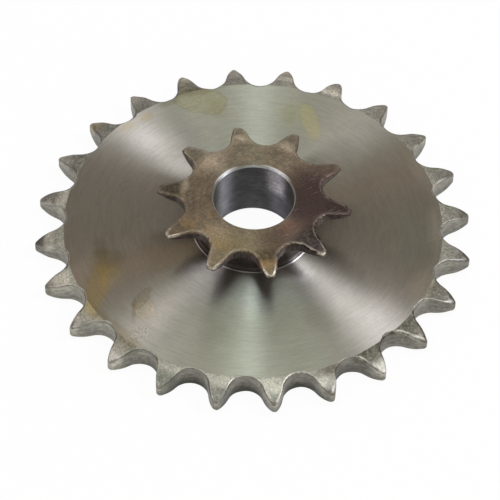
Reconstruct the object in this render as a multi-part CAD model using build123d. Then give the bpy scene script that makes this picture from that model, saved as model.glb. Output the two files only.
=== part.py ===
"""Double chain sprocket: a 24-tooth wheel and a 10-tooth wheel on one hub, machined from one bar.

Millimetres. The bore's axis is Z and the back face of the large wheel lies at z = 0, so the part
rests flat on it with the small wheel on top. +X passes through the middle of a gap between two
large teeth and through the middle of a small tooth.
"""
from build123d import *
from math import cos, radians, sin, sqrt
import os

# The chain, which is the same on both wheels.
chain_pitch = 12.7
roller_diameter = 7.92
seat_clearance = 0.18           # what a roller seat adds to the roller's radius

# Along the axis, from the back face up.
overall_width = 15.9
large_width = 5.75
small_width = 2.7

# Hub and bore.
hub_diameter = 27.0
hub_fillet = 0.9                # where the hub meets each wheel
bore_diameter = 19.0
mouth_width = 0.3               # how much wider than the bore its two chamfered mouths are
mouth_depth = 0.5

# Teeth of the large wheel, in plan.
large_teeth = 24
large_seat_angle = 138.0        # how far a roller seat wraps round its roller
large_flank_radius = 14.3
large_tip_corner = 0.7
large_tip_land = 0.1            # the straight between the two corners of a tip

# Teeth of the small wheel, in plan.
small_teeth = 10
small_seat_angle = 122.0
small_flank_radius = 17.0
small_tip_corner = 0.35
small_tip_land = 1.3

# Side relief: both sides of the teeth curve in towards the tips, so that the chain slips on.
relief_break = 3.0              # degrees by which the relief leaves the flat side
large_relief_reach = 3.85       # from the pitch circle in to where the relief starts
large_front_relief = 1.65       # what the front side has lost at the tips
large_back_relief = 1.4
small_relief_reach = 4.9
small_front_relief = 1.25
small_back_relief = 0.95
rim_allowance = 0.1             # what a turned blank stands out past the finished tips

seat_radius = roller_diameter / 2 + seat_clearance
small_back = overall_width - small_width


def pitch_radius(teeth):
    """Radius of the circle on which the centres of the seated rollers lie."""
    return chain_pitch / 2 / sin(radians(180 / teeth))


def polar(radius, angle):
    """The point at this radius and angle, in degrees from +X."""
    return Vector(radius * cos(radians(angle)), radius * sin(radians(angle)))


def below(point):
    """The point's mirror image on the other side of the X axis."""
    return Vector(point.X, -point.Y)


def tooth_outline(teeth, seat_angle, flank_radius, tip_corner, tip_land):
    """Plan of a toothed wheel with a gap on +X, all arcs but for the lands, and its tip radius."""
    half_tooth = 180 / teeth
    roller_centre = Vector(pitch_radius(teeth), 0)
    seat_end = roller_centre + polar(seat_radius, 180 - seat_angle / 2)
    flank_centre = roller_centre + polar(seat_radius + flank_radius, 180 - seat_angle / 2)

    # The corner's arc touches the flank from inside and stands half a land off the tooth's middle.
    outward = polar(1, half_tooth)
    sideways = polar(1, half_tooth - 90)
    across = tip_land / 2 - flank_centre.dot(sideways)
    along = flank_centre.dot(outward) + sqrt((flank_radius - tip_corner) ** 2 - across**2)
    corner_centre = outward * along + sideways * (tip_land / 2)
    to_flank_end = (corner_centre - flank_centre).normalized()
    to_seat_end = (seat_end - flank_centre).normalized()

    flank_middle = flank_centre + (to_seat_end + to_flank_end).normalized() * flank_radius
    flank_end = flank_centre + to_flank_end * flank_radius
    corner_middle = corner_centre + (to_flank_end + outward).normalized() * tip_corner
    land_start = corner_centre + outward * tip_corner
    land_end = below(land_start).rotate(Axis.Z, 2 * half_tooth)

    seat = ThreePointArc(below(seat_end), roller_centre - Vector(seat_radius, 0), seat_end)
    flank = ThreePointArc(seat_end, flank_middle, flank_end)
    corner = ThreePointArc(flank_end, corner_middle, land_start)
    other_flank = ThreePointArc(below(seat_end), below(flank_middle), below(flank_end))
    other_corner = ThreePointArc(below(flank_end), below(corner_middle), below(land_start))
    gap = [other_corner, other_flank, seat, flank, corner, Line(land_start, land_end)]
    turns = [2 * half_tooth * tooth for tooth in range(teeth)]
    outline = make_face([edge.rotate(Axis.Z, turn) for turn in turns for edge in gap])
    return outline, land_start.length


def wheel_blank(back, front, relief_start, tip_radius, back_relief, front_relief):
    """The turned disc that the teeth are cut from, with the curved relief on both sides."""
    rim_radius = tip_radius + rim_allowance
    inner_back = Vector(relief_start, back)
    inner_front = Vector(relief_start, front)
    outer_back = Vector(rim_radius, back + back_relief)
    outer_front = Vector(rim_radius, front - front_relief)
    section = make_face(
        [
            Line((0, back), inner_back),
            TangentArc(inner_back, outer_back, tangent=polar(1, relief_break)),
            Line(outer_back, outer_front),
            TangentArc(inner_front, outer_front, tangent=polar(1, -relief_break)),
            Line(inner_front, (0, front)),
            Line((0, front), (0, back)),
        ]
    )
    return revolve(Plane.XZ * section, Axis.Z)


def large_wheel():
    outline, tip_radius = tooth_outline(
        large_teeth, large_seat_angle, large_flank_radius, large_tip_corner, large_tip_land
    )
    relief_start = pitch_radius(large_teeth) - large_relief_reach
    blank = wheel_blank(
        0, large_width, relief_start, tip_radius, large_back_relief, large_front_relief
    )
    return blank & extrude(outline, large_width)


def small_wheel():
    outline, tip_radius = tooth_outline(
        small_teeth, small_seat_angle, small_flank_radius, small_tip_corner, small_tip_land
    )
    relief_start = pitch_radius(small_teeth) - small_relief_reach
    blank = wheel_blank(
        small_back, overall_width, relief_start, tip_radius, small_back_relief, small_front_relief
    )
    prism = extrude(Pos(0, 0, small_back) * outline, small_width)
    half_tooth = 180 / small_teeth
    return (blank & prism).rotate(Axis.Z, half_tooth)


def hub():
    """The waist between the wheels, with the turning tool's round corner at each end."""
    radius = hub_diameter / 2
    foot = Vector(radius + hub_fillet, large_width)
    neck = Vector(radius + hub_fillet, small_back)
    above_foot = Vector(radius, large_width + hub_fillet)
    under_neck = Vector(radius, small_back - hub_fillet)
    section = make_face(
        [
            Line((0, large_width), foot),
            TangentArc(foot, above_foot, tangent=(-1, 0)),
            Line(above_foot, under_neck),
            TangentArc(neck, under_neck, tangent=(-1, 0)),
            Line(neck, (0, small_back)),
            Line((0, small_back), (0, large_width)),
        ]
    )
    return revolve(Plane.XZ * section, Axis.Z)


def bore():
    """What is drilled out: the through hole, opened at both ends by a steep chamfer."""
    radius = bore_diameter / 2
    mouth = radius + mouth_width
    section = make_face(
        Polyline(
            (0, 0),
            (mouth, 0),
            (radius, mouth_depth),
            (radius, overall_width - mouth_depth),
            (mouth, overall_width),
            (0, overall_width),
            close=True,
        )
    )
    return revolve(Plane.XZ * section, Axis.Z)


double_sprocket = large_wheel() + hub() + small_wheel() - bore()
double_sprocket.label = "double_sprocket"

os.makedirs("parts", exist_ok=True)
export_step(double_sprocket, "parts/double_sprocket.step")
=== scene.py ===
# %% [markdown]
# # A double chain sprocket in turned steel
#
# The object is one machined piece: a thin plate wheel with 24 teeth, a short round hub on it, and
# a small wheel with 10 teeth on top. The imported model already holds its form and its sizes. What
# this notebook adds is what makes it look like steel from a workshop: broken edges, the marks of
# the lathe, brown oxide, stains, and the soft lamps that such metal needs.
#
# First the frame is loaded. It gives the CAD node, and the box that the finished piece must keep.

# %% Load the frame
import bpy
import numpy as np
from mathutils import Matrix, Vector


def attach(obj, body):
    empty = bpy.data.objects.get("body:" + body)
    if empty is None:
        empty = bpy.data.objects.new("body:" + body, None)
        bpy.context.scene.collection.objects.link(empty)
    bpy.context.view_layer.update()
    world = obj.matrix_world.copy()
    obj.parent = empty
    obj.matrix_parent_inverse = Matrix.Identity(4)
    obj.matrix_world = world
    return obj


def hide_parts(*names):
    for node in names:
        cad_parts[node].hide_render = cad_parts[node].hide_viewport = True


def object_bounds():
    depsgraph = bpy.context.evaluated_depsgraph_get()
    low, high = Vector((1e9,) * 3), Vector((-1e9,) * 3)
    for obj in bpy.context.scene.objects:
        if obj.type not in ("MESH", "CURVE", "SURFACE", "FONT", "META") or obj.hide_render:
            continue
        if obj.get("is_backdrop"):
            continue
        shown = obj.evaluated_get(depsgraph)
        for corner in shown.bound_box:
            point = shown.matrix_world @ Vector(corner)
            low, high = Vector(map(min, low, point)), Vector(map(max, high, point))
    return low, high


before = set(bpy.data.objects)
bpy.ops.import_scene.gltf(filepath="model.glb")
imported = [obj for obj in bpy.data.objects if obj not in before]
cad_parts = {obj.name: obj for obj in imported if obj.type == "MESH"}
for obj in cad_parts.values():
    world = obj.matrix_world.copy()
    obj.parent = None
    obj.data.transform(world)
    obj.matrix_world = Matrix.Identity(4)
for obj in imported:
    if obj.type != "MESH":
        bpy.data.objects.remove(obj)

mm = 0.001
cad_low, cad_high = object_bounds()
print("CAD box in mm:", [round(v / mm, 2) for v in (*cad_low, *cad_high)])

# %% [markdown]
# ## The camera
#
# A long lens from a little over half a metre, looking down at about 51 degrees, shows the plate as
# a calm ellipse. The lens and the distance go together: from nearer, the front teeth would look
# larger than the back ones. The part's +X axis does not point at the camera, so the camera stands
# on a turned bearing instead, and the part stays where the CAD has it.

# %% Camera
camera_distance = 627.72 * mm
camera_bearing = np.radians(-119.016)       # from +X, seen from above
camera_height = np.radians(50.935)          # above the horizon
camera_heading = np.radians(-28.924)        # which way it faces, 0 is along +Y
camera_pitch = np.radians(38.840)           # up from straight down
camera_roll = np.radians(1.314)
camera_lens = 189.65                        # in mm
sensor_width = 36.0                         # in mm


def at_bearing(turn, rise, distance):
    """A point on a sphere round the origin: (cos rise cos turn, cos rise sin turn, sin rise)."""
    level = np.cos(rise)
    return distance * np.array([level * np.cos(turn), level * np.sin(turn), np.sin(rise)])


camera_data = bpy.data.cameras.new("camera")
camera_data.sensor_width = sensor_width
camera_data.lens = camera_lens
camera_data.clip_end = 20.0
camera = bpy.data.objects.new("camera", camera_data)
bpy.context.scene.collection.objects.link(camera)
bpy.context.scene.camera = camera

camera_spot = at_bearing(camera_bearing, camera_height, camera_distance)
heading = Matrix.Rotation(camera_heading, 4, "Z")
pitch = Matrix.Rotation(camera_pitch, 4, "X")
roll = Matrix.Rotation(camera_roll, 4, "Z")
camera.matrix_world = Matrix.Translation(Vector(camera_spot)) @ heading @ pitch @ roll
print("Camera at, in mm:", np.round(camera_spot / mm, 1))

# %% [markdown]
# ## The plan of a toothed wheel
#
# Between two teeth lies a roller seat, an arc about the middle of the chain's roller. A large
# convex arc, the flank, runs from there to the tip, whose two corners are small arcs with a short
# straight land between them. One could draw these arcs and cut them out of a disc. Here the plan
# is a single function instead, because every ray from the axis meets this outline once: it gives
# the radius for an angle. It can also give the outline set in by some distance, as the foot of a
# bevel is, because the arcs keep their centres and only their radii change.

# %% Sizes of the two wheels
chain_pitch = 12.7 * mm
seat_radius = 4.14 * mm
large_tooth = {
    "teeth": 24,
    "seat_angle": 138.0,
    "flank": 14.3 * mm,
    "corner": 0.7 * mm,
    "land": 0.1 * mm,
}
small_tooth = {
    "teeth": 10,
    "seat_angle": 122.0,
    "flank": 17.0 * mm,
    "corner": 0.35 * mm,
    "land": 1.3 * mm,
}
columns = 1440
angle = np.arange(columns) * 2 * np.pi / columns
print(columns, "columns,", columns // large_tooth["teeth"], "to each large tooth")


# %% Circles met by rays from the axis
def direction(turn):
    """Unit vector at this angle, for one angle or a whole array."""
    return np.array([np.cos(turn), np.sin(turn)])


def pitch_radius(teeth):
    """Radius of the circle that carries the rollers: half the pitch over the sine of half a step."""
    return chain_pitch / 2 / np.sin(np.pi / teeth)


def far_hit(centre, radius, ray):
    """Where rays from the axis leave a circle: c.u + sqrt(radius^2 - c.c + (c.u)^2)."""
    along = centre @ ray
    return along + np.sqrt(np.maximum(radius**2 - centre @ centre + along**2, 0))


def bearing_of(centre, radius, towards):
    """Angle at which the point centre + radius * towards is seen from the axis."""
    return np.arctan2(centre[1] + radius * towards[1], centre[0] + radius * towards[0])


# %% Radius of the outline for an angle
def outline_radius(turn, tooth, inset=0.0):
    """Distance from the axis to the outline, set in by inset, with a gap on angle 0.

    The seat is the near side of the circle of seat_radius + inset about the roller, the flank the
    far side of the circle of flank - inset about its own centre, and the tip the smaller of the
    flank and the land's straight line, or between them the corner's circle.
    """
    half = np.pi / tooth["teeth"]
    turn = np.abs((turn + half) % (2 * half) - half)
    ray = direction(turn)
    roller = pitch_radius(tooth["teeth"]) * direction(0.0)
    to_seat_end = direction(np.pi - np.radians(tooth["seat_angle"]) / 2)
    flank_centre = roller + (seat_radius + tooth["flank"]) * to_seat_end

    outward = direction(half)
    sideways = direction(half - np.pi / 2)
    across = tooth["land"] / 2 - flank_centre @ sideways
    reach = np.sqrt((tooth["flank"] - tooth["corner"]) ** 2 - across**2)
    corner_height = flank_centre @ outward + reach
    corner_centre = corner_height * outward + tooth["land"] / 2 * sideways
    corner_radius = np.maximum(tooth["corner"] - inset, 0)
    to_corner = (corner_centre - flank_centre) / (tooth["flank"] - tooth["corner"])

    seat_side = (seat_radius + inset) ** 2 - (roller[0] * ray[1]) ** 2
    seat = roller[0] * ray[0] - np.sqrt(np.maximum(seat_side, 0))
    flank = far_hit(flank_centre, tooth["flank"] - inset, ray)
    corner = far_hit(corner_centre, corner_radius, ray)
    land = (corner_height + tooth["corner"] - inset) / np.cos(half - turn)

    seat_end = bearing_of(roller, seat_radius + inset, to_seat_end)
    flank_end = bearing_of(flank_centre, tooth["flank"] - inset, to_corner)
    corner_end = bearing_of(corner_centre, corner_radius, outward)
    in_corner = (turn > flank_end) & (turn < corner_end) & (inset < tooth["corner"])
    tip = np.where(in_corner, corner, np.minimum(flank, land))
    return np.where(turn < seat_end, seat, tip)


for name, tooth in (("large", large_tooth), ("small", small_tooth)):
    outline = outline_radius(angle, tooth)
    print(name, "wheel: root", round(outline.min() / mm, 3), "tip", round(outline.max() / mm, 3))

# %% [markdown]
# ## Wear along the edges
#
# A deburring wheel and years of handling leave the edges of the teeth broken, and never evenly.
# A Bevel modifier would make one even width. Here the width is a steady value times a slow,
# repeatable noise round the wheel, so that an edge is fine in one place and dulled in the next.
# The tips of the large teeth, which meet the chain first, are rounded most.


# %% Slow noise round the wheel
def uneven(seed, waves):
    """A closed curve of unit spread: a sum of cosines of 1 to waves turns with random phases."""
    source = np.random.default_rng(seed)
    turns = np.arange(1, waves + 1)
    strength = source.normal(size=waves)
    phase = source.uniform(0, 2 * np.pi, waves)
    curve = (strength[:, None] * np.cos(turns[:, None] * angle + phase[:, None])).sum(0)
    return curve / curve.std()


def wear(seed, waves, spread):
    """A factor round the wheel for the width of a broken edge: 1 + spread * noise, 0.35 to 2."""
    return np.clip(1 + spread * uneven(seed, waves), 0.35, 2.0)


def worn_tips(seed, gain, most):
    """The wear of an edge of the large wheel, rounder at the tips and never above most.

    With s the share of the way from the pitch circle out to the tips, it is the wear of an even
    edge times 1 + gain * s^2.
    """
    outline = outline_radius(angle, large_tooth)
    pitch = pitch_radius(large_tooth["teeth"])
    share = np.clip((outline - pitch) / (outline.max() - pitch), 0, 1)
    return np.minimum(wear(seed, 90, 0.35) * (1 + gain * share**2), most)


print("wear of an edge:", np.round(np.percentile(wear(5, 90, 0.35), [0, 50, 100]), 2))

# %% [markdown]
# ## The sides of the teeth
#
# Both sides of the teeth curve in towards the tips, so that the chain slips on. This relief is
# turned, so its fall depends on the radius alone. It is one arc, which leaves the flat side at 3
# degrees. Where it meets the outline, a bevel takes it round to the wall of the gap.

# %% Relief and bevel
relief_break = np.radians(3.0)
bevel_turns = np.radians([25, 50, 70, 90])      # from the foot of a bevel round to the wall
rim_allowance = 0.1 * mm        # the relief's arc is measured this far past the tips
flat_rest = 0.05 * mm           # of flat side that stays inside the foot of a bevel


def relief_fall(radius, start, rim, fall):
    """How far a relieved side has dropped: an arc that leaves the flat at relief_break.

    The arc starts at radius start and has dropped by fall at radius rim. With chord length L and
    chord angle g its radius is R = L / (2 sin(g - break)).
    """
    chord = np.hypot(rim - start, fall)
    bend = chord / (2 * np.sin(np.arctan2(fall, rim - start) - relief_break))
    out = np.maximum(radius - start, 0) + bend * np.sin(relief_break)
    return bend * np.cos(relief_break) - np.sqrt(bend**2 - out**2)


def toothed_side(tooth, turned, start, fall, width, height, worn, steps):
    """Relief rings and bevel rings on one side of the teeth, as (radius, depth below the flat).

    The relief is shared evenly between its start and the foot of the bevel, and the bevel is a
    quarter of an ellipse: inset = width (1 - sin t), extra depth = height (1 - cos t).
    """
    rim = outline_radius(np.array([np.pi / tooth["teeth"]]), tooth)[0] + rim_allowance
    foot = outline_radius(turned, tooth, width * worn)
    begin = np.minimum(start, foot - flat_rest)
    relief = [begin + (foot - begin) * share for share in np.linspace(0, 1, steps)]
    relief = [(radius, relief_fall(radius, start, rim, fall)) for radius in relief]
    bevel = []
    for t in bevel_turns:
        radius = outline_radius(turned, tooth, width * worn * (1 - np.sin(t)))
        depth = relief_fall(radius, start, rim, fall) + height * worn * (1 - np.cos(t))
        bevel.append((radius, depth))
    return relief, bevel


# %% [markdown]
# ## The cross-section
#
# The whole body can be one closed skin, a stack of rings. Each ring goes once round the axis and
# is a radius and a height for every angle. The rings follow the cross-section: up the bore, out
# over the small wheel, round its teeth, back under it to the hub, down the hub, out over the
# plate, round the large teeth, and back under the plate to the bore. A boolean of two wheels would
# leave long thin triangles, which shade badly. A skin of rings shades cleanly, and every strip of
# it knows which tool made it, which is what decides its finish.

# %% Heights and radii of the turned parts
large_width = 5.75 * mm
small_width = 2.7 * mm
overall_width = cad_high[2] - cad_low[2]
small_back = overall_width - small_width
large_start = pitch_radius(large_tooth["teeth"]) - 3.85 * mm     # where the relief starts
small_start = pitch_radius(small_tooth["teeth"]) - 4.9 * mm
hub_radius = 13.5 * mm
hub_fillet = 0.9 * mm
bore_radius = 9.5 * mm
mouth_radius = 9.8 * mm
mouth_depth = 0.5 * mm
small_turned = angle - np.pi / small_tooth["teeth"]     # the small wheel has a tooth on +X

rings = [(bore_radius, mouth_depth)]
strips = []                     # the finish of the strip from each ring to the next
crisp = []                      # rings where the surface turns sharply


def section(finish, rows, sharp=True):
    """Adds rings after the last one. Their strips get this finish, and a sharp start is noted."""
    if sharp:
        crisp.append(len(rings) - 1)
    rings.extend(rows)
    strips.extend([finish] * len(rows))


def down_from(top, rows):
    """Rings of a front side, from the axis outwards: their depths count down from the top."""
    return [(radius, top - depth) for radius, depth in rows]


def up_from(base, rows):
    """Rings of a back side, from the outline inwards: their depths count up from the base."""
    return [(radius, base + depth) for radius, depth in reversed(rows)]


# %% Up the bore and over the small wheel
ragged = wear(seed=3, waves=110, spread=0.3)
dull = wear(seed=4, waves=90, spread=0.3)
relief, bevel = toothed_side(
    small_tooth, small_turned, small_start,
    fall=1.25 * mm, width=0.45 * mm, height=0.35 * mm, worn=ragged, steps=8,
)
section("bored", [(bore_radius, overall_width - mouth_depth)])
section("mouth", [(mouth_radius, overall_width)])
section("browned", [(radius * mm, overall_width) for radius in (10.4, 12.3, 14.2)])
section("browned", down_from(overall_width, relief), sharp=False)
section("rubbed", down_from(overall_width, bevel))

relief, bevel = toothed_side(
    small_tooth, small_turned, small_start,
    fall=0.95 * mm, width=0.2 * mm, height=0.15 * mm, worn=dull, steps=6,
)
section("shaded", up_from(small_back, bevel))
section("underside", up_from(small_back, relief), sharp=False)
print(len(rings), "rings so far, up to the small wheel's back")


# %% Down the hub and over the plate
def fillet(height, up):
    """Rings of the hollow quarter circle at a foot of the hub, from the wall outwards."""
    turns = np.radians(np.linspace(90, 0, 6))
    radii = hub_radius + hub_fillet * (1 - np.sin(turns))
    heights = height + up * hub_fillet * (1 - np.cos(turns))
    return list(zip(radii, heights))


lip_height = 0.12 * mm           # of the low lip that the tool left round the foot
lip_width = 0.28 * mm
upper_fillet = fillet(small_back, -1)[::-1]
foot_radius = hub_radius + hub_fillet
section("underside", upper_fillet[:1])
section("hub", upper_fillet[1:], sharp=False)
section("hub", fillet(large_width, 1)[:-1], sharp=False)
section("hub", [(foot_radius, large_width + lip_height)])
section("ring", [(foot_radius + lip_width, large_width)])

relief, bevel = toothed_side(
    large_tooth, angle, large_start, fall=1.65 * mm, width=0.38 * mm, height=0.28 * mm,
    worn=worn_tips(seed=5, gain=1.3, most=2.5), steps=11,
)
section("faced", down_from(large_width, relief[:1]))
section("relieved", down_from(large_width, relief[1:]))
section("broken", down_from(large_width, bevel), sharp=False)

relief, bevel = toothed_side(
    large_tooth, angle, large_start, fall=1.4 * mm, width=0.2 * mm, height=0.2 * mm,
    worn=worn_tips(seed=6, gain=1.8, most=3.0), steps=5,
)
section("cut", up_from(0.0, bevel[-1:]))
section("broken", up_from(0.0, bevel[:-1]), sharp=False)
section("relieved", up_from(0.0, relief), sharp=False)
section("faced", [(mouth_radius, 0.0)])
section("mouth", [])
strips.append("mouth")           # from the last ring back to the first
print(len(rings), "rings in all, with", len(crisp), "sharp ones")

# %% [markdown]
# ## From rings to a mesh
#
# Neighbouring rings are joined by four-sided faces, and the last ring joins the first, so the skin
# has no seam, no pole and no hole. A strip's finish becomes the material number of its faces. The
# edges along the sharp rings are marked, which makes smooth shading stop there. A number goes with
# each point: how far it is, in plan, from the outline of its wheel.


# %% Points, edges and numbers
def ring_points(rings):
    """Points (radius cos a, radius sin a, height) for every ring and every angle a."""
    radius = np.stack([np.broadcast_to(r, angle.shape) for r, _ in rings])
    height = np.stack([np.broadcast_to(z, angle.shape) for _, z in rings])
    return np.stack([radius * np.cos(angle), radius * np.sin(angle), height], axis=-1)


def distance_to_outline(points, turned, tooth, reach=90):
    """Shortest distance in plan from each point to the outline, up to reach columns away."""
    radius = outline_radius(turned, tooth)
    outline = np.stack([radius * np.cos(angle), radius * np.sin(angle)], axis=-1)
    near = (np.arange(columns)[:, None] + np.arange(-reach, reach + 1)) % columns
    gap = points[:, :, None, :2] - outline[near][None]
    return np.sqrt((gap**2).sum(-1).min(-1))


def add_numbers(mesh, name, values):
    """Stores one number for each point of the mesh, which a material can read by its name."""
    mesh.attributes.new(name, "FLOAT", "POINT").data.foreach_set("value", values.ravel())


# %% Join the rings
def closed_skin(name, points):
    """Joins ring i, column j to their next neighbours, round both ways, into one closed mesh."""
    count = points.shape[0] * columns
    number = np.arange(count).reshape(-1, columns)
    next_ring = np.roll(number, -1, axis=0)
    corners = [number, next_ring, np.roll(next_ring, -1, axis=1), np.roll(number, -1, axis=1)]
    faces = np.stack(corners, axis=-1).reshape(-1, 4)
    mesh = bpy.data.meshes.new(name)
    mesh.from_pydata(points.reshape(-1, 3), [], faces)
    mesh.shade_smooth()
    return mesh


def mark_sharp_rings(mesh, sharp):
    """Marks an edge as sharp where both its ends lie on the same sharp ring."""
    ends = np.empty(len(mesh.edges) * 2, dtype=np.int32)
    mesh.edges.foreach_get("vertices", ends)
    first, second = (ends.reshape(-1, 2) // columns).T
    marked = (first == second) & np.isin(first, sharp)
    mesh.attributes.new("sharp_edge", "BOOLEAN", "EDGE").data.foreach_set("value", marked)


points = ring_points(rings)
body_mesh = closed_skin("sprocket_body", points)
mark_sharp_rings(body_mesh, crisp)
small_rings = points[:, 0, 2] > (large_width + small_back) / 2
to_edge = distance_to_outline(points, angle, large_tooth)
to_edge[small_rings] = distance_to_outline(points[small_rings], small_turned, small_tooth, reach=120)
add_numbers(body_mesh, "to_edge", to_edge / mm)
print(len(body_mesh.polygons), "faces,", int(small_rings.sum()), "rings on the small wheel")

# %% [markdown]
# ## Marks from handling, and painted light and shade, on the teeth
#
# Chains, files and fingers have left marks: a root smudged with old oil, a tip rubbed pale, an edge
# polished bright. Most of the lighter and darker bands on the reliefs, though, are painted
# highlights and painted shade, put where the lamps would be mirrored in the curved sides. Painting
# them on an image would tie them to a picture. Here each mark is a soft box bent round the rim,
# worked out at the mesh's points, which lie close enough together. A list of marks becomes two
# numbers for each point: how light the steel is, mostly painted light and shade, and how warm or
# green, which is the steel's own tone.


# %% Soft marks bent round the rim
view_turn = camera_bearing + np.pi / 2      # from +X to the camera's right
from_axis = np.hypot(points[..., 0], points[..., 1]) / mm
seen_bearing = np.arctan2(points[..., 1], points[..., 0]) - view_turn
height_mm = points[..., 2] / mm
plate_middle = 3.0                          # heights in mm: no marks below this one,
hub_low, hub_high = 8.0, 14.2               # nor between these two
faces_up = (height_mm > plate_middle) & ((height_mm < hub_low) | (height_mm > hub_high))
wall_start = strips.index("cut")            # the walls of the large gaps go down from this ring
from_wall = np.arange(len(rings))[:, None] - wall_start
on_rim = (from_wall > -len(bevel_turns)) & (from_wall <= len(bevel_turns))
squareness = 2.5


def mark(bearing, radius, size, soft=0.5, where=faces_up):
    """1 inside a box bent round the axis and 0 outside, at points that lie where it may show.

    With u the distance out over half the first size, v the distance round over half the second
    and c the squareness, the mark falls smoothly from 1 to 0 while (|u|^c + |v|^c)^(1/c) goes from
    1 - soft to 1 + soft. The bearing is in degrees from the camera's right, the rest is in mm.
    """
    apart = (seen_bearing - np.radians(bearing) + np.pi) % (2 * np.pi) - np.pi
    out = np.abs(from_axis - radius) / (size[0] / 2)
    across = np.abs(apart) * radius / (size[1] / 2)
    edge = (out**squareness + across**squareness) ** (1 / squareness)
    share = np.clip((1 + soft - edge) / (2 * soft), 0, 1)
    return share**2 * (3 - 2 * share) * where


# %% Marks and painted light and shade on the two wheels
marks = [
    # bearing, radius, (out, round), softness, lightness with painted light, warmth; first the large
    # wheel
    (-173.5, 48.5, (2.4, 6), 0.5, 1.34, 0.1),
    (-173.5, 50.9, (2.8, 5), 0.3, 0.50, 0.0),
    (-158.5, 47.6, (4.0, 7), 0.5, 1.42, 0.1),
    (-158.5, 51.6, (1.8, 5), 0.3, 0.72, 0.0),
    (-143.5, 45.6, (2.6, 9), 0.5, 1.08, 0.3),
    (-145.5, 49.4, (2.2, 2.4), 0.4, 1.50, 0.0),
    (-141.6, 49.2, (2.4, 1.8), 0.4, 0.70, 0.0),
    (-128.5, 46.8, (3.6, 8), 0.5, 0.80, 0.3),
    (-128.5, 50.2, (2.2, 5), 0.5, 1.25, 0.0),
    (-113.5, 46.0, (2.0, 8), 0.5, 1.30, 0.0),
    (-113.5, 49.4, (4.0, 7), 0.5, 0.62, -0.5),
    (-98.5, 45.8, (2.6, 9), 0.5, 1.42, 0.0),
    (-98.5, 49.8, (3.6, 7), 0.5, 0.60, -0.3),
    (-83.5, 46.6, (4.2, 9), 0.5, 1.50, 0.0),
    (-83.5, 50.6, (1.8, 5), 0.5, 0.80, -0.2),
    (-70.5, 48.0, (2.4, 5), 0.5, 1.42, 0.0),
    (-65.0, 45.8, (2.4, 6), 0.6, 0.58, 0.6),
    (-68.5, 50.8, (1.8, 5), 0.5, 0.66, -0.2),
    (-53.5, 46.1, (4.2, 10), 0.4, 0.44, 0.4),
    (-53.5, 50.4, (3.0, 5), 0.5, 1.40, 0.0),
    (-46.0, 44.9, (2.2, 5), 0.4, 0.45, 0.4),
    (-38.5, 47.0, (5.6, 10), 0.4, 0.48, 0.4),
    (-23.5, 48.6, (7.6, 9), 0.4, 0.57, 0.2),
    (-8.5, 50.2, (3.0, 6), 0.5, 0.72, 0.0),
    (6.5, 50.4, (2.6, 5), 0.5, 0.74, 0.3),
    (10.0, 47.6, (4.0, 3), 0.6, 0.95, -0.8),
    (24.5, 47.6, (4.0, 3), 0.6, 1.0, -0.8),
    (36.5, 49.8, (1.4, 5), 0.5, 1.30, 0.0),
    (51.5, 49.3, (3.4, 6), 0.5, 1.20, 0.1),
    (66.5, 46.7, (2.0, 8), 0.4, 2.0, 0.0),
    (66.5, 48.6, (1.4, 6), 0.5, 1.45, 0.3),
    (81.5, 47.8, (1.8, 6), 0.4, 1.60, 0.0),
    (81.5, 49.9, (2.2, 5), 0.5, 1.12, 0.5),
    (128.0, 46.2, (4.0, 58), 0.4, 0.68, 0.0),
    (120.0, 50.6, (2.6, 82), 0.4, 1.28, 0.1),
    (111.5, 48.4, (3.4, 4), 0.6, 0.86, 0.4),
    (141.5, 49.4, (3.6, 4), 0.5, 0.90, 0.9),
    (156.5, 46.3, (2.6, 8), 0.5, 0.80, 0.0),
    (156.5, 50.0, (2.6, 6), 0.5, 1.10, 0.0),
    (171.5, 46.2, (2.2, 8), 0.4, 1.30, 0.0),
    (171.5, 49.2, (3.4, 5), 0.3, 0.80, 0.1),
    # the small wheel
    (-151.0, 17.6, (2.6, 5), 0.6, 1.35, 1.0),
    (-134.0, 13.6, (4.4, 9), 0.8, 1.50, 0.4),
    (-115.0, 16.4, (3.0, 7), 0.7, 1.05, 0.6),
    (-82.0, 17.7, (3.2, 8), 0.5, 0.46, 0.2),
    (-79.0, 19.7, (2.6, 4), 0.6, 1.25, 0.6),
    (-43.0, 18.8, (8.0, 9), 0.4, 0.28, 0.5),
    (-7.0, 20.0, (5.0, 6), 0.5, 0.78, 0.4),
    (29.0, 18.5, (7.0, 9), 0.5, 1.25, 0.1),
    (66.0, 17.0, (1.6, 7), 0.5, 1.40, -0.2),
    (101.0, 18.2, (2.8, 6), 0.5, 1.40, -0.1),
    (101.0, 21.5, (2.2, 4), 0.5, 0.80, 0.0),
    (137.0, 14.8, (2.6, 8), 0.6, 1.40, -0.1),
    (137.0, 19.6, (5.4, 8), 0.4, 0.72, -0.5),
    (166.0, 16.6, (1.4, 9), 0.6, 1.35, 0.0),
    (176.0, 12.8, (5.0, 9), 0.7, 1.22, 0.0),
    (173.0, 19.8, (5.0, 8), 0.4, 0.62, -0.6),
]
rim_marks_and_painted_light = [
    # The same on the edges and walls, where the tips of the front teeth are rubbed pale and get
    # painted highlights.
    (-158.5, 51.0, (5.0, 3), 0.5, 1.20, 0.0),
    (-143.5, 51.0, (5.5, 4), 0.5, 1.35, 0.0),
    (-128.5, 51.0, (5.5, 4), 0.5, 1.60, 0.0),
    (-113.5, 51.2, (6.0, 3.4), 0.5, 1.80, 0.0),
    (-98.5, 51.2, (6.0, 3.4), 0.5, 1.90, 0.1),
    (-83.5, 51.2, (6.0, 3.4), 0.5, 1.90, 0.0),
    (-69.0, 51.2, (6.0, 3.0), 0.5, 1.55, 0.0),
    (-53.5, 51.0, (5.0, 3), 0.5, 1.25, 0.0),
    (-37.5, 51.3, (3.0, 2), 0.4, 0.60, 0.5),
]
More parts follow.
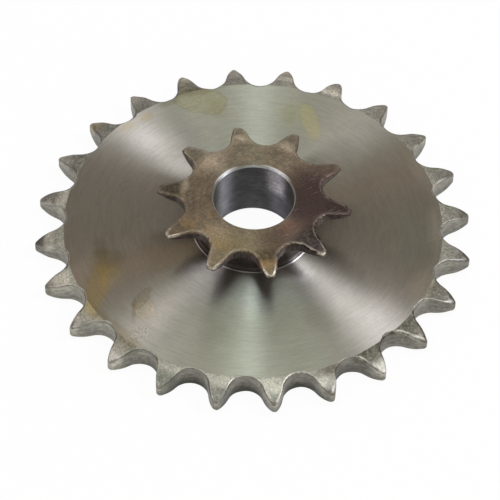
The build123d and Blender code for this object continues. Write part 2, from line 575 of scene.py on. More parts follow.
# Lightness multiplies the steel's colour: above 1 it is mostly a painted highlight, below 1 mostly
# painted shade.
tone_and_painted_light = np.ones(points.shape[:2])
warmth = np.zeros(points.shape[:2])
for where, rows in ((faces_up, marks), (on_rim, rim_marks_and_painted_light)):
    for bearing, radius, size, soft, light, warm in rows:
        share = mark(bearing, radius, size, soft, where)
        tone_and_painted_light *= 1 + share * (light - 1)
        warmth += share * warm
add_numbers(body_mesh, "tone_and_painted_light", tone_and_painted_light)
add_numbers(body_mesh, "warmth", warmth)
print(len(marks) + len(rim_marks_and_painted_light), "marks; lightness up to", tone_and_painted_light.max().round(2))

# %% [markdown]
# The edges are treated in the same way: a third number says where they are polished bright and
# where a glint is painted on them. A random tone for each tooth is added, because each was cut and
# handled a little differently.

# %% Polished edges with painted glints, and a tone for each tooth
painted_glint_and_polish_places = [
    # bearing, radius, (out, round)
    (-76.5, 45.0, (3.0, 7)),
    (-74.5, 46.5, (3.0, 3)),
    (-57.0, 47.5, (5.0, 2)),
    (-41.0, 48.0, (7.0, 3.4)),
    (-26.0, 47.5, (8.0, 3.6)),
    (17.0, 46.5, (5.0, 4)),
    (32.5, 47.5, (4.0, 3)),
    (174.0, 49.8, (3.6, 3)),
    (-115.0, 22.0, (2.6, 5)),
    (-79.0, 21.8, (3.0, 6)),
    (-151.0, 22.0, (3.0, 5)),
    (-45.0, 22.4, (1.6, 2)),
    (-172.0, 20.5, (6.0, 2)),
]
# Bright edges: partly real polish, partly painted glints where the lamps would catch an edge.
painted_glint_and_polish = np.zeros(points.shape[:2])
for bearing, radius, size in painted_glint_and_polish_places:
    painted_glint_and_polish = np.maximum(painted_glint_and_polish, mark(bearing, radius, size))
add_numbers(body_mesh, "painted_glint_and_polish", painted_glint_and_polish)


def tooth_tones(seed):
    """A value from -1 to 1 for every angle: each tooth's own draw, eased with cosines between."""
    teeth = large_tooth["teeth"]
    draws = np.random.default_rng(seed).uniform(-1, 1, teeth)
    place = angle / (2 * np.pi) * teeth - 0.5
    whole = np.floor(place).astype(int)
    ease = (1 - np.cos(np.pi * np.clip((place - whole) * 2 - 0.5, 0, 1))) / 2
    return draws[whole % teeth] * (1 - ease) + draws[(whole + 1) % teeth] * ease


tones = np.broadcast_to(tooth_tones(11), points.shape[:2])
add_numbers(body_mesh, "tooth_tone", tones)

body = bpy.data.objects.new("sprocket_body", body_mesh)
bpy.context.scene.collection.objects.link(body)
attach(body, "root")
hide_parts("double_sprocket")
print(len(painted_glint_and_polish_places), "polished edges; tones from", round(tones.min(), 2), "to", round(tones.max(), 2))

# %% [markdown]
# ## Tools for the finishes
#
# A finish on steel is colour, gloss and small unevenness, and all three come from patterns that
# are computed, not painted. The patterns read Object coordinates, because those are real
# millimetres on the part. A few short helpers keep the node trees readable: one adds any node,
# the others stand for arithmetic, a noise, a soft step, and colours that are mixed or dyed.


# %% Node helpers
def put(kind, inputs=(), tree=None, **settings):
    """Adds a node and feeds its inputs: a socket is linked to, a number or colour is set.

    Sockets know their tree, so it is given only for a node that no other node feeds.
    """
    inputs = dict(inputs)
    fed = {key for key, value in inputs.items() if isinstance(value, bpy.types.NodeSocket)}
    tree = tree or next(inputs[key].id_data for key in fed)
    node = tree.nodes.new("ShaderNode" + kind)
    for name, value in settings.items():
        setattr(node, name, value)
    for key, value in inputs.items():
        if key in fed:
            tree.links.new(value, node.inputs[key])
        else:
            node.inputs[key].default_value = value
    return node


def maths(operation, *values):
    """One arithmetic step on one to three sockets or numbers."""
    return put("Math", enumerate(values), operation=operation).outputs[0]


def times(first, second):
    """The product of two sockets or numbers."""
    return maths("MULTIPLY", first, second)


def vectors(operation, *values):
    """One arithmetic step on one or two places. A length comes out as a number."""
    node = put("VectorMath", enumerate(values), operation=operation)
    return node.outputs[1 if operation == "LENGTH" else 0]


def noise(place, scale, detail=2.0, roughness=0.5, warp=0.0):
    """Cloudy noise from 0 to 1 round 0.5, scale times as fine as its place vector."""
    inputs = {
        "Vector": place,
        "Scale": scale,
        "Detail": detail,
        "Roughness": roughness,
        "Distortion": warp,
    }
    return put("TexNoise", inputs).outputs[0]


def step(value, start, end, low=0.0, high=1.0):
    """Goes smoothly from low to high while the value goes from start to end, and no further."""
    inputs = {"Value": value, "From Min": start, "From Max": end, "To Min": low, "To Max": high}
    return put("MapRange", inputs, interpolation_type="SMOOTHSTEP").outputs[0]


def blend(share, first, second, how="MIX"):
    """Mixes two colours: the first where share is 0, the second where it is 1."""
    inputs = {0: share, 6: first, 7: second}
    return put("Mix", inputs, data_type="RGBA", blend_type=how).outputs[2]


def dye(share, colour, by):
    """Multiplies a colour by another one, as far as share says."""
    return blend(share, colour, by, "MULTIPLY")


def grey(value):
    """A neutral colour for a socket."""
    return (value, value, value, 1)


def tinted(colour, factor):
    """A colour for a socket: each part of the given one times the factor."""
    return (*[part * factor for part in colour[:3]], 1)


# %% [markdown]
# A lathe leaves marks that run round the axis. Their noise must be fine across the radius and
# stretched round it, so it reads a place made of the radius and of the direction from the axis,
# each with its own scale. A milling cutter leaves its marks along the axis, so there the height is
# squeezed instead.


# %% Places that patterns read
def place_in_mm(tree):
    """Object coordinates in millimetres."""
    return vectors("MULTIPLY", put("TexCoord", tree=tree).outputs["Object"], (1 / mm,) * 3)


def height_of(place):
    """How high the place lies."""
    return put("SeparateXYZ", {0: place}).outputs[2]


def radius_of(place):
    """How far the place lies from the axis."""
    return vectors("LENGTH", vectors("MULTIPLY", place, (1, 1, 0)))


def stretched(place, x, y, z, turn=0.0):
    """The place turned about the axis and scaled by x, y and z, for long or flat patterns."""
    inputs = {"Vector": place, "Rotation": (0, 0, turn), "Scale": (x, y, z)}
    return put("Mapping", inputs).outputs[0]


def round_axis(place, fine, around):
    """((radius + height) * fine, x / radius * around, y / radius * around) for turned marks."""
    unit = vectors("NORMALIZE", vectors("MULTIPLY", place, (1, 1, 0)))
    x, y = put("SeparateXYZ", {0: unit}).outputs[:2]
    across = maths("ADD", radius_of(place), height_of(place))
    inputs = {0: times(across, fine), 1: times(x, around), 2: times(y, around)}
    return put("CombineXYZ", inputs).outputs[0]


def number(place, name):
    """The number that the mesh's points carry under this name, in the tree that place is in."""
    return put("Attribute", tree=place.id_data, attribute_name=name).outputs["Fac"]


# %% [markdown]
# ## Stains
#
# Drops of oil and water have dried on the plate. Each left a patch whose border is a little darker,
# a tide mark. A patch is a rounded box whose border is shaken by noise: inside it the steel's
# colour is multiplied by a tint, and where the box is half faded lies the tide mark. The places
# are given as the camera sees the plate, with x to the right and y away from it, and are turned to
# the part's own axes. Softer patches, the films, stand for thin oil where they dull the steel.
# Where a film's tint is well above 1 it is painted light, and two dark films beside the small
# wheel are painted shade.

# %% Patches on a face
def seen_at(x, y):
    """Turns a place seen from the camera's side into the part's own x and y."""
    cos, sin = np.cos(view_turn), np.sin(view_turn)
    return (x * cos - y * sin, x * sin + y * cos, 0)


def shaken(place, amount, scale):
    """The place moved about by noise, up to half the amount each way."""
    cloud = put("TexNoise", {"Vector": place, "Scale": scale, "Detail": 3.0}).outputs[1]
    offset = vectors("SUBTRACT", cloud, (0.5,) * 3)
    return vectors("ADD", place, vectors("MULTIPLY", offset, (amount,) * 3))


def patch(place, at, size, turn=0.0, soft=0.6, corner=2.0):
    """1 inside a rounded box and 0 outside: (|x|^c + |y|^c)^(1/c) compared with 1, softly."""
    inputs = {
        "Vector": place,
        "Location": seen_at(*at),
        "Rotation": (0, 0, view_turn + np.radians(turn)),
        "Scale": (size[0] / 2, size[1] / 2, 1000.0),
    }
    local = put("Mapping", inputs, vector_type="TEXTURE").outputs[0]
    parts = put("SeparateXYZ", {0: local}).outputs[:2]
    powers = [maths("POWER", maths("ABSOLUTE", part), corner) for part in parts]
    edge = maths("POWER", maths("ADD", *powers), 1 / corner)
    return step(edge, 1 + soft, 1 - soft)


# %% Places of the stains
stains = [
    # place, size, turn, softness, tint, squareness, strength of the tide mark
    ((-13.9, 39.0), (12.6, 7.8), -14, 0.09, (1.02, 1.00, 0.84), 3.6, 0.4),
    ((13.3, 33.0), (3.9, 11.8), 13, 0.2, (1.17, 1.12, 0.86), 2.4, 0.15),
    ((8.2, 35.2), (3.2, 6.0), 0, 0.35, (0.95, 0.95, 0.89), 2.4, 0.0),
    ((-34.2, -12.6), (7.0, 7.0), -8, 0.35, (0.99, 0.97, 0.86), 2.5, 0.12),
    ((-35.8, -20.0), (4.8, 16.0), -8, 0.35, (1.15, 1.04, 0.72), 2.0, 0.08),
    ((-32.9, -16.8), (3.4, 7.6), -20, 0.4, (1.16, 1.13, 0.92), 2.4, 0.0),
    ((-35.9, -8.4), (3.4, 5.4), 10, 0.4, (0.86, 0.83, 0.78), 2.5, 0.0),
    ((-24.5, -26.0), (5.2, 5.0), 22, 0.12, (1.12, 1.07, 0.96), 3.0, 0.35),
    ((-25.2, -22.7), (2.6, 6.2), -26, 0.25, (0.89, 0.87, 0.79), 2.2, 0.35),
]
films_and_painted_light = [
    # Films of oil, painted light and painted shade, which are oval and have no tide mark.
    ((-9.3, 36.6), (4.4, 7.0), 24, 0.5, (0.93, 0.91, 0.86)),
    ((-14.0, 42.3), (13.0, 2.4), 18, 0.5, (0.78, 0.75, 0.70)),
    ((-21.4, 38.4), (4.6, 2.6), 28, 0.5, (0.80, 0.78, 0.74)),
    ((-26.6, 33.3), (3.4, 2.6), 30, 0.5, (0.96, 0.90, 0.75)),
    ((-31.0, 30.0), (3.6, 2.0), 45, 0.6, (1.00, 0.93, 0.80)),
    ((9.2, 35.3), (6.5, 7.0), 0, 0.7, (1.01, 1.00, 0.90)),
    ((-33.3, -11.0), (6.8, 5.0), 0, 0.8, (0.82, 0.81, 0.79)),
    ((-40.6, -16.5), (4.5, 13.0), -22, 0.8, (1.18, 1.17, 1.17)),
    ((-27.0, -26.6), (0.9, 6.5), 2, 0.6, (0.80, 0.77, 0.72)),
    ((-31.1, -32.0), (22, 3.2), -44, 0.6, (0.84, 0.78, 0.68)),
    ((-21.6, -28.0), (7.5, 17.0), -38, 0.8, (1.18, 1.16, 1.18)),
    ((-20.0, -10.0), (15.0, 8.0), 12, 0.8, (0.94, 0.91, 0.85)),
    ((0.0, -20.0), (24.0, 13.0), 0, 0.7, (1.03, 1.04, 1.14)),
    # Painted light: the next two films brighten the plate where the small wheel shades it.
    ((10.4, -14.3), (6.0, 6.5), 36, 0.7, (1.42, 1.43, 1.48)),
    ((-11.2, -13.6), (6.0, 7.0), -38, 0.7, (1.18, 1.20, 1.24)),
    ((37.5, -3.0), (9.0, 17.0), 5, 0.8, (0.98, 1.04, 1.01)),
    ((39.5, -17.0), (7.0, 9.0), 20, 0.8, (1.06, 1.03, 0.96)),
    # Painted shade: the next two films darken the plate beside the small wheel.
    ((18.4, 21.0), (7.5, 12.0), -41, 0.8, (0.76, 0.74, 0.74)),
    ((-17.7, 21.3), (6.0, 6.0), 40, 0.8, (0.88, 0.87, 0.87)),
    ((-26.8, 25.5), (8.0, 7.0), 46, 0.8, (1.20, 1.20, 1.24)),
    ((-17.5, 30.3), (5.0, 18.0), 30, 0.8, (0.89, 0.90, 0.91)),
    ((-17.0, -29.4), (5.0, 18.0), -30, 0.8, (0.87, 0.88, 0.88)),
    ((0.0, -24.5), (3.0, 9.0), 0, 0.8, (1.17, 1.20, 1.19)),
    ((30.7, -24.0), (9.0, 9.0), 0, 0.8, (1.18, 1.18, 1.20)),
    ((43.4, 0.0), (3.6, 13.0), 0, 0.8, (1.34, 1.34, 1.35)),
    ((40.4, 16.3), (3.6, 14.0), 22, 0.8, (1.18, 1.22, 1.22)),
    ((40.4, -16.3), (3.6, 14.0), -22, 0.8, (1.18, 1.20, 1.18)),
]
print(len(stains), "stains and", len(films_and_painted_light), "films_and_painted_light")

# %% [markdown]
# ## Steel
#
# All the finishes start from one Principled shader with its metallic value up. What makes turned
# steel look turned is anisotropy: the marks scatter light far across them and hardly along them,
# so a lamp becomes a long streak that runs out from the axis. The Tangent node gives the
# direction round the axis, a quarter turn of the anisotropy lays the streak across it.


# %% A steel to start from
finishes = {}


def new_steel(finish, metallic=1.0, anisotropic=0.0):
    """A material for a finish, with its even numbers on the shader's own sockets."""
    material = bpy.data.materials.new(finish + "_steel")
    material.use_nodes = True
    finishes[finish] = material
    tree = material.node_tree
    shader = tree.nodes["Principled BSDF"]
    shader.inputs["Metallic"].default_value = metallic
    shader.inputs["Anisotropic"].default_value = anisotropic
    if anisotropic > 0:
        shader.inputs["Anisotropic Rotation"].default_value = 0.25
        tangent = put("Tangent", tree=tree, direction_type="RADIAL", axis="Z").outputs[0]
        tree.links.new(tangent, shader.inputs["Tangent"])
    return shader, place_in_mm(tree)


def give(shader, colour, pattern, depth, dullness, span=(0.3, 0.7)):
    """Links a colour to the shader, and one pattern to its roughness and to its relief.

    The roughness goes from the first to the second value of dullness while the pattern crosses
    the span, and as a bump the pattern stands depth mm high.
    """
    inputs = {"Height": pattern, "Distance": depth * mm, "Strength": 1.0}
    bump = put("Bump", inputs).outputs[0]
    roughness = step(pattern, *span, *dullness)
    for name, value in (("Base Color", colour), ("Roughness", roughness), ("Normal", bump)):
        shader.id_data.links.new(value, shader.inputs[name])


def two_tone(colour, pattern, span, factors):
    """Goes from a darker to a lighter form of one colour while the pattern crosses the span."""
    low, high = [tinted(colour, factor) for factor in factors]
    return blend(step(pattern, *span), low, high)


def grained(colour, grain, depth):
    """Darkens and lightens a colour by up to depth with a fine grain."""
    speck = blend(step(grain, 0.3, 0.7), grey(1 - depth), grey(1 + depth))
    return dye(1.0, colour, speck)


# %% [markdown]
# The marks from the mesh, with their painted light and shade, are laid on a colour with one more
# helper. Noise breaks them up, so that their soft borders become ragged, as smudges and rubbed
# places are.


# %% Marks on a colour
warm_dye = (1.06, 0.97, 0.78, 1)
green_dye = (0.90, 1.02, 0.88, 1)


def marked(place, colour):
    """Multiplies a colour by the mesh's tone and painted light and shade, and dyes it by its warmth,
    both broken up.
    """
    broken = step(noise(place, 1.1, 4.0, 0.7), 0.32, 0.62, 0.55, 1.2)
    change = maths("SUBTRACT", number(place, "tone_and_painted_light"), 1.0)
    # Painted light and shade from the mesh's marks, broken up by noise.
    light = maths("MULTIPLY_ADD", change, broken, 1.0)
    colour = dye(1.0, colour, light)
    warm = times(number(place, "warmth"), broken)
    colour = dye(step(warm, 0.0, 1.0), colour, warm_dye)
    return dye(step(warm, 0.0, -1.0), colour, green_dye)


# %% [markdown]
# ## The faced sides
#
# The flat sides were faced on a lathe. Fine rings cover them, crossed by scratches from years of
# use, and a thin cloudy film dulls the bright steel here and there.

# %% Scratches and stains on a colour
steel_colour = (0.416, 0.391, 0.346)
tide_mark = (0.72, 0.70, 0.62, 1)


def scratched(place, colour, rows, width, share, strength):
    """Thin straight scratches: long narrow Voronoi cells, of which a small share shows.

    Each row is the turn, the length in mm and the grey of one set. The width is in mm too.
    """
    for turn, length, light in rows:
        cell_place = stretched(place, 1 / length, 0.25 / width, 0.0, turn)
        cells = put("TexVoronoi", {"Vector": cell_place, "Scale": 1.0}).outputs
        chosen = put("SeparateColor", {0: cells["Color"]}).outputs[0]
        line = step(cells["Distance"], 0.42, 0.12)
        line = times(line, step(chosen, 1 - share - 0.02, 1 - share))
        colour = blend(times(line, strength), colour, grey(light))
    return colour


def stained(place, colour):
    """Dyes a colour with stains and films, some of them painted light, on the front side, speckled
    and shaken.

    A tide mark is strongest where a stain's mask m is half: its share is 4 m (1 - m).
    """
    wobble = shaken(place, 2.0, 0.4)
    speckle = step(noise(place, 2.2, 3.0, 0.7), 0.2, 0.6, 0.6, 1.0)
    shown = times(speckle, step(height_of(place), 2.0, 4.0))
    for at, size, turn, soft, tint, corner, tide in stains + [(*film, 2.0, 0.0) for film in films_and_painted_light]:
        mask = times(patch(wobble, at, size, turn, soft, corner), shown)
        colour = dye(mask, colour, (*tint, 1))
        if tide > 0:
            border = times(mask, maths("SUBTRACT", 1.0, mask))
            colour = dye(times(border, 4 * tide), colour, tide_mark)
    return colour


# %% Faced steel
def faced_steel():
    """Fine rings and specks in two tones, under a cloudy film, scratches, a scuff, stains and painted
    light.
    """
    shader, place = new_steel("faced", anisotropic=1.0)
    rings_fine = noise(round_axis(place, 2.6, 7.0), 1.0, 3.0, 0.6)
    speckle = noise(place, 2.2, 3.0, 0.7)
    cloudy = step(noise(place, 0.11, 5.0, 0.65), 0.42, 0.66)
    shade = maths("MULTIPLY_ADD", speckle, 0.4, times(rings_fine, 0.6))
    colour = two_tone(steel_colour, shade, (0.36, 0.62), (0.91, 1.05))
    colour = dye(cloudy, colour, (0.95, 0.95, 0.94, 1))
    rows = ((0.7, 6.0, 0.75), (1.9, 5.0, 0.10), (2.9, 7.0, 0.7))
    colour = scratched(place, colour, rows, width=0.05, share=0.02, strength=0.22)
    scuffed = patch(shaken(place, 2.0, 0.6), (-25.6, -33.4), (3.6, 8.0), turn=-38, soft=0.5)
    pitted = step(noise(place, 2.4, 3.0, 0.7), 0.40, 0.60, 0.76, 1.14)
    colour = stained(place, dye(scuffed, colour, pitted))
    give(shader, colour, speckle, 0.0012, (0.34, 0.37), span=(0.25, 0.75))


faced_steel()
print("faced steel has", len(finishes["faced"].node_tree.nodes), "nodes")

# %% [markdown]
# ## The sides and edges of the large teeth
#
# The relief was cut after the plate was faced. It is duller and grainier, each tooth has its own
# tone, and the stains run on over it. The gaps were cut with a hob. It moved slowly along the axis
# and left fine lines round the walls, one under the other. The walls get painted shade at the foot
# of the front gaps, and painted light near the top elsewhere. The edges are mostly dull, and bright
# only where they are polished, and where a glint is painted on them.


# %% Relieved, cut and broken steel
def relieved_steel():
    """A cloudy tone for each tooth with grain, marks, painted light and stains, rubbed lighter at the
    outline.
    """
    colour = tinted(steel_colour, 0.84)
    shader, place = new_steel("relieved")
    grain = noise(place, 2.0, 4.0, 0.7)
    cloud = noise(place, 0.35, 2.0)
    tone = maths("MULTIPLY_ADD", number(place, "tooth_tone"), 0.06, cloud)
    base = two_tone(colour, tone, (0.3, 0.7), (0.88, 1.1))
    base = stained(place, marked(place, grained(base, grain, 0.32)))
    rubbed = maths("MULTIPLY_ADD", grain, 2.0, number(place, "to_edge"))
    base = blend(step(rubbed, 1.45, 0.85), base, tinted(colour, 1.25))
    give(shader, base, grain, 0.03, (0.46, 0.56))


def cut_steel():
    """Lines round the walls and clouds, painted shade at the front's foot, painted light up top
    elsewhere.
    """
    colour = (0.222, 0.214, 0.181)
    shader, place = new_steel("cut")
    lines = noise(stretched(place, 0.45, 0.45, 2.6), 1.0, 3.0, 0.6)
    cloud = noise(stretched(place, 0.8, 0.8, 1.4), 1.0, 4.0, 0.7)
    shade = times(maths("ADD", lines, cloud), 0.5)
    base = two_tone(colour, shade, (0.38, 0.62), (0.70, 1.33))
    # Painted shade darkens the foot of the front walls, and painted light brightens the tops of the
    # others.
    level = maths("ADD", cloud, height_of(place))
    front = patch(place, (0.0, -48.0), (64, 30), soft=0.3)
    shaded = times(step(level, 5.0, 0.8), front)
    painted_light_on_top = times(step(level, 2.0, 5.0), maths("SUBTRACT", 1.0, front))
    base = dye(shaded, marked(place, base), (0.22, 0.225, 0.20, 1))
    base = dye(painted_light_on_top, base, grey(1.45))
    give(shader, base, lines, 0.03, (0.45, 0.55))


def broken_steel():
    """Grainy and marked, and bright where the mesh gives polish and painted glints."""
    colour = (0.30, 0.285, 0.255)
    shader, place = new_steel("broken")
    grain = noise(place, 1.2, 4.0, 0.7)
    base = two_tone(colour, grain, (0.36, 0.62), (0.75, 1.15))
    bright = times(number(place, "painted_glint_and_polish"), step(grain, 0.35, 0.55, 0.2, 1.0))
    base = blend(bright, marked(place, base), tinted(colour, 1.7))
    give(shader, base, grain, 0.03, (0.36, 0.5))


relieved_steel()
cut_steel()
broken_steel()
print("finishes so far:", list(finishes))

# %% [markdown]
# ## The browned wheel
#
# A thin oxide has grown over the small wheel, olive brown on one side and violet brown on the
# other. The metal still mirrors the lamps through it, so the shader stays partly metallic. The
# oxide lies in blots of a few millimetres. It is thin at the feet of three teeth and rubbed off in
# ragged spots along the edges. Two thin crescents of bare bright steel beside the mouth of the bore
# are painted highlights.


# %% Places in the oxide
dark_oxide = (0.150, 0.122, 0.088, 1)
light_oxide = (0.245, 0.185, 0.125, 1)
oxides = [
    # place, size, turn, softness, share, colour
    ((-3.0, -15.0), (18, 9), 0, 0.6, 0.6, (0.235, 0.180, 0.100)),
    ((17.0, -3.2), (21, 27.5), 15, 0.4, 0.97, (0.090, 0.059, 0.055)),
    ((8.2, -12.0), (15, 9), 20, 0.6, 0.85, (0.110, 0.073, 0.052)),
    ((8.0, -9.3), (5.5, 3.6), 35, 0.7, 0.8, (0.120, 0.060, 0.038)),
    ((1.5, -20.0), (7, 7), 0, 0.6, 0.7, (0.25, 0.155, 0.075)),
    ((15.0, -15.0), (9, 9), 0, 0.6, 0.9, (0.085, 0.058, 0.048)),
    ((-9.0, 15.0), (8, 6), 30, 0.6, 0.35, (0.29, 0.22, 0.165)),
    ((-16.6, 3.0), (2.2, 4.0), 0, 0.5, 0.8, (0.36, 0.30, 0.22)),
    ((7.4, 16.4), (4.4, 2.4), -15, 0.5, 0.7, (0.34, 0.28, 0.21)),
    ((-3.3, 18.7), (3.4, 1.8), -25, 0.5, 0.7, (0.36, 0.29, 0.22)),
]
print(len(oxides), "places in the oxide")


# %% Browned and rubbed steel
def oxide_colour(place):
    """Oxide in blots of two browns, darker and redder on one side, with grain, marks and painted
    light.
    """
    blots = noise(place, 0.30, 4.0, 0.65, 0.8)
    drawn = noise(round_axis(place, 1.3, 3.5), 1.0, 4.0, 0.65)
    blots = times(maths("ADD", blots, drawn), 0.5)
    moved = shaken(place, 3.5, 0.3)
    base = blend(step(blots, 0.38, 0.62), dark_oxide, light_oxide)
    for at, size, turn, soft, share, colour in oxides:
        mask = times(patch(moved, at, size, turn, soft), share)
        base = blend(mask, base, (*colour, 1))
    grain = noise(place, 1.7, 4.0, 0.75)
    return marked(place, grained(base, grain, 0.26))


def browned_steel():
    """Oxide with scratches, rubbed paler along the outline, and a painted highlight in two crescents.
    """
    shader, place = new_steel("browned", metallic=0.62, anisotropic=0.95)
    grain = noise(place, 1.6, 4.0, 0.75)
    rows = ((0.4, 3.0, 0.4), (1.7, 4.0, 0.03), (2.6, 3.0, 0.35))
    colour = scratched(place, oxide_colour(place), rows, width=0.06, share=0.04, strength=0.5)
    rubbed = maths("MULTIPLY_ADD", grain, 0.7, number(place, "to_edge"))
    rubbed = times(step(rubbed, 1.35, 0.75), 0.6)
    colour = blend(rubbed, colour, (0.31, 0.265, 0.215, 1))
    # Two crescents of bare bright steel beside the bore are painted highlights.
    beside_bore = step(radius_of(place), 10.35, 9.9)
    for at in ((5.6, 8.2), (-7.3, 6.8)):
        painted_crescent_highlight = times(patch(place, at, (6.5, 6.5)), beside_bore)
        colour = blend(painted_crescent_highlight, colour, (0.72, 0.72, 0.71, 1))
    give(shader, colour, grain, 0.012, (0.39, 0.45))


def rubbed_steel():
    """Oxide with bare spots, and bright where the mesh gives polish and painted glints."""
    shader, place = new_steel("rubbed", metallic=0.85)
    spots = noise(place, 0.8, 4.0, 0.7)
    brown = oxide_colour(place)
    base = blend(step(spots, 0.50, 0.70), brown, (0.24, 0.21, 0.18, 1))
    speck = noise(place, 2.0, 3.0, 0.6)
    bright = times(number(place, "painted_glint_and_polish"), step(speck, 0.42, 0.56, 0.15, 1.0))
    base = blend(bright, base, (0.55, 0.50, 0.42, 1))
    give(shader, base, spots, 0.03, (0.5, 0.4), span=(0.35, 0.65))


def shaded_steel():
    """Dark and dull with long soft marks, for the walls and the back edge of the small teeth."""
    colour = (0.112, 0.092, 0.086)
    shader, place = new_steel("shaded", metallic=0.7)
    marks = noise(stretched(place, 1.8, 1.8, 0.5), 1.0, 4.0, 0.7)
    base = two_tone(colour, marks, (0.35, 0.65), (0.6, 1.6))
    give(shader, base, marks, 0.03, (0.45, 0.55))


browned_steel()
rubbed_steel()
shaded_steel()
print("finishes so far:", list(finishes))

# %% [markdown]
# ## Bore, mouths and hub
#
# The bore is faintly blue from heat, with the same turned marks as the plate. Its dark colour is
# painted shade inside it, and three brighter patches, two in it and one on its upper mouth, are
# painted highlights. The steep chamfers at its mouths are bright. The hub sits in the shade of the
# small wheel, and its dark brownish colour is painted shade. Where it meets the plate the tool left
# one bright ring.


# %% Turned steel for the bore, its mouths and the hub
def turned(finish, colour, roughness, anisotropic, spread, rubbed=()):
    """A turned finish with rings of lighter and darker steel, and with a few painted highlights.

    A painted highlight is given as place, size, tint and the heights over which it sets in.
    """
    shader, place = new_steel(finish, anisotropic=anisotropic)
    marks = noise(round_axis(place, 2.5, 3.0), 1.0, 3.0, 0.6)
    cloud = step(noise(place, 0.4, 3.0), 0.3, 0.7, 0.0, 0.4)
    shade = maths("ADD", step(marks, 0.3, 0.7, 0.0, 0.6), cloud)
    base = blend(shade, tinted(colour, 1 - spread), tinted(colour, 1 + spread))
    # Each rubbed place is a painted highlight that brightens the steel's colour.
    for at, size, tint, start, end in rubbed:
        painted_highlight = patch(shaken(place, 1.8, 0.6), at, size)
        painted_highlight = times(painted_highlight, step(height_of(place), start, end))
        speck = step(noise(place, 1.5, 4.0, 0.75), 0.35, 0.65, 0.5, 1.15)
        base = dye(times(painted_highlight, speck), base, (*tint, 1))
    give(shader, base, marks, 0.006, (roughness - 0.04, roughness + 0.04))


bore_painted_highlights = [
    ((5.2, 7.9), (4.6, 5.0), (3.2, 3.2, 3.1), 6.5, 9.5),
    ((-8.8, 3.4), (4.0, 7.5), (1.6, 1.6, 1.5), 0.0, 1.0),
]
mouth_painted_highlights = [((5.9, 7.8), (6.0, 6.0), (1.5, 1.5, 1.5), 1.0, 2.0)]

# finish, colour, roughness, anisotropy, spread of the two tones, painted highlights
# The bore's dark colour is painted shade inside it.
turned("bored", (0.168, 0.165, 0.174), 0.6, 1.0, 0.35, bore_painted_highlights)
turned("mouth", (0.62, 0.62, 0.62), 0.45, 1.0, 0.15, mouth_painted_highlights)
# The hub's dark colour is painted shade under the small wheel.
turned("hub", (0.12, 0.105, 0.10), 0.42, 0.8, 0.35)
turned("underside", (0.40, 0.39, 0.38), 0.42, 0.9, 0.2)
turned("ring", (0.66, 0.66, 0.65), 0.4, 0.9, 0.12)
print(len(finishes), "finishes in all")

# %% [markdown]
# Each strip of the skin now gets the material of its finish.

# %% Finishes on the strips
for material in finishes.values():
    body_mesh.materials.append(material)
slot_of_strip = [list(finishes).index(finish) for finish in strips]
body_mesh.polygons.foreach_set("material_index", np.repeat(slot_of_strip, columns))
body_mesh.update()
print("strips of each finish:", {finish: strips.count(finish) for finish in finishes})

# %% [markdown]
# ## Floor and light
#
# Bright turned steel shows little but its surroundings, so the lamps are chosen for the streaks
# they make. Two tall boxes left and right give the two pairs of cool bright streaks. A wide dim
# panel over the top, and a narrow strip before it, give the pale wedges towards and away from the
# camera. Four smaller lamps, two low and two high, soften the borders of the streaks and wedges.
# The room adds a dim warm light. The floor is white paper: to the camera and in reflections it
# mostly glows by itself, and the small rest of it takes the object's faint shadow.


# %% White paper floor
def paper_floor(half, glow):
    """A square floor just under the part, whose glow is seen by the camera and in reflections."""
    level = -0.02 * mm
    corners = [(-half, -half, level), (half, -half, level), (half, half, level), (-half, half, level)]
    mesh = bpy.data.meshes.new("paper_floor")
    mesh.from_pydata(corners, [], [(0, 1, 2, 3)])
    paper = bpy.data.materials.new("white_paper")
    paper.use_nodes = True
    tree = paper.node_tree
    tree.nodes.clear()
    rays = put("LightPath", tree=tree).outputs
    seen = maths("MAXIMUM", rays["Is Camera Ray"], rays["Is Glossy Ray"])
    seen = maths("MAXIMUM", seen, rays["Is Transmission Ray"])
    matt = put("BsdfDiffuse", {"Color": grey(0.9)}, tree).outputs[0]
    bright = put("Emission", {"Color": grey(1.0), "Strength": 1.0}, tree).outputs[0]
    mixed = put("MixShader", {0: times(seen, glow), 1: matt, 2: bright})
    put("OutputMaterial", {"Surface": mixed.outputs[0]})
    mesh.materials.append(paper)
    floor = bpy.data.objects.new("paper_floor", mesh)
    bpy.context.scene.collection.objects.link(floor)
    return floor


floor = paper_floor(half=3.0, glow=0.95)
floor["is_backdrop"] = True
print("floor is", floor.dimensions.x, "m wide")


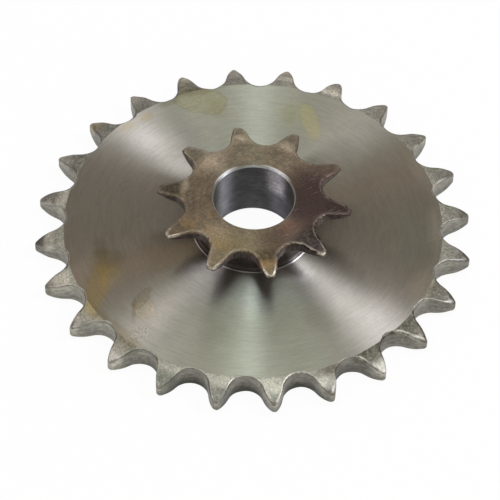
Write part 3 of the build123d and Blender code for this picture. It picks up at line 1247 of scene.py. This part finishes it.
# %% Lamps
def lamp(name, bearing, height, size, radiance, roll=0.0, distance=1.2):
    """A rectangular lamp that faces the part; bearing in degrees from the camera's right.

    A lamp of this radiance and area gives radiance * pi * area watts, in each of its colours.
    """
    strongest = max(radiance)
    data = bpy.data.lights.new(name, "AREA")
    data.shape = "RECTANGLE"
    data.size, data.size_y = size
    data.energy = strongest * np.pi * size[0] * size[1]
    data.color = [value / strongest for value in radiance]
    spot = Vector(at_bearing(np.radians(bearing) + view_turn, np.radians(height), distance))
    facing = spot.to_track_quat("Z", "Y").to_matrix().to_4x4()
    thing = bpy.data.objects.new(name, data)
    thing.matrix_world = Matrix.Translation(spot) @ facing @ Matrix.Rotation(np.radians(roll), 4, "Z")
    bpy.context.scene.collection.objects.link(thing)
    return thing


lamps = [
    # name, bearing, height in degrees, size in metres, radiance, roll
    lamp("right_box", -1.7, 49.1, (0.305, 0.498), (11.3, 11.5, 12.4), -3.1),
    lamp("left_box", 189.2, 57.1, (0.443, 0.474), (3.70, 3.55, 4.00), 10.1),
    lamp("top_strip", -89.2, 85.4, (0.114, 0.466), (5.6, 6.7, 6.5), 7.7),
    lamp("top_panel", 115.3, 80.4, (0.706, 0.850), (0.765, 0.937, 0.761), -0.8),
    lamp("left_low", 138.3, 51.7, (0.182, 0.259), (0.99, 0.60, 0.30), 24.8),
    lamp("back_low", 97.2, 29.0, (0.516, 0.340), (1.37, 1.43, 1.49), 4.4),
    lamp("high_spot", 37.7, 74.1, (0.091, 0.097), (5.9, 7.4, 6.65), -16.5),
    lamp("right_spot", 35.7, 63.7, (0.111, 0.081), (6.6, 7.2, 7.9), -6.1),
]

world = bpy.data.worlds.new("room")
bpy.context.scene.world = world
world.use_nodes = True
room = world.node_tree.nodes["Background"]
room.inputs["Color"].default_value = (0.351, 0.319, 0.284, 1)
room.inputs["Strength"].default_value = 1.0
bpy.context.scene.view_settings.view_transform = "Standard"
print(len(lamps), "lamps,", round(sum(thing.data.energy for thing in lamps), 1), "watts")

# %% [markdown]
# ## The end
#
# The finished piece must keep the CAD model's box, so its box is measured and printed.

# %% Finish
low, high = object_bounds()
boxes = {"cad": (cad_low, cad_high), "visual": (low, high)}
boxes = {name: [[float(v) for v in corner] for corner in box] for name, box in boxes.items()}
print("visual box in mm:", [round(v / mm, 2) for v in (*low, *high)])
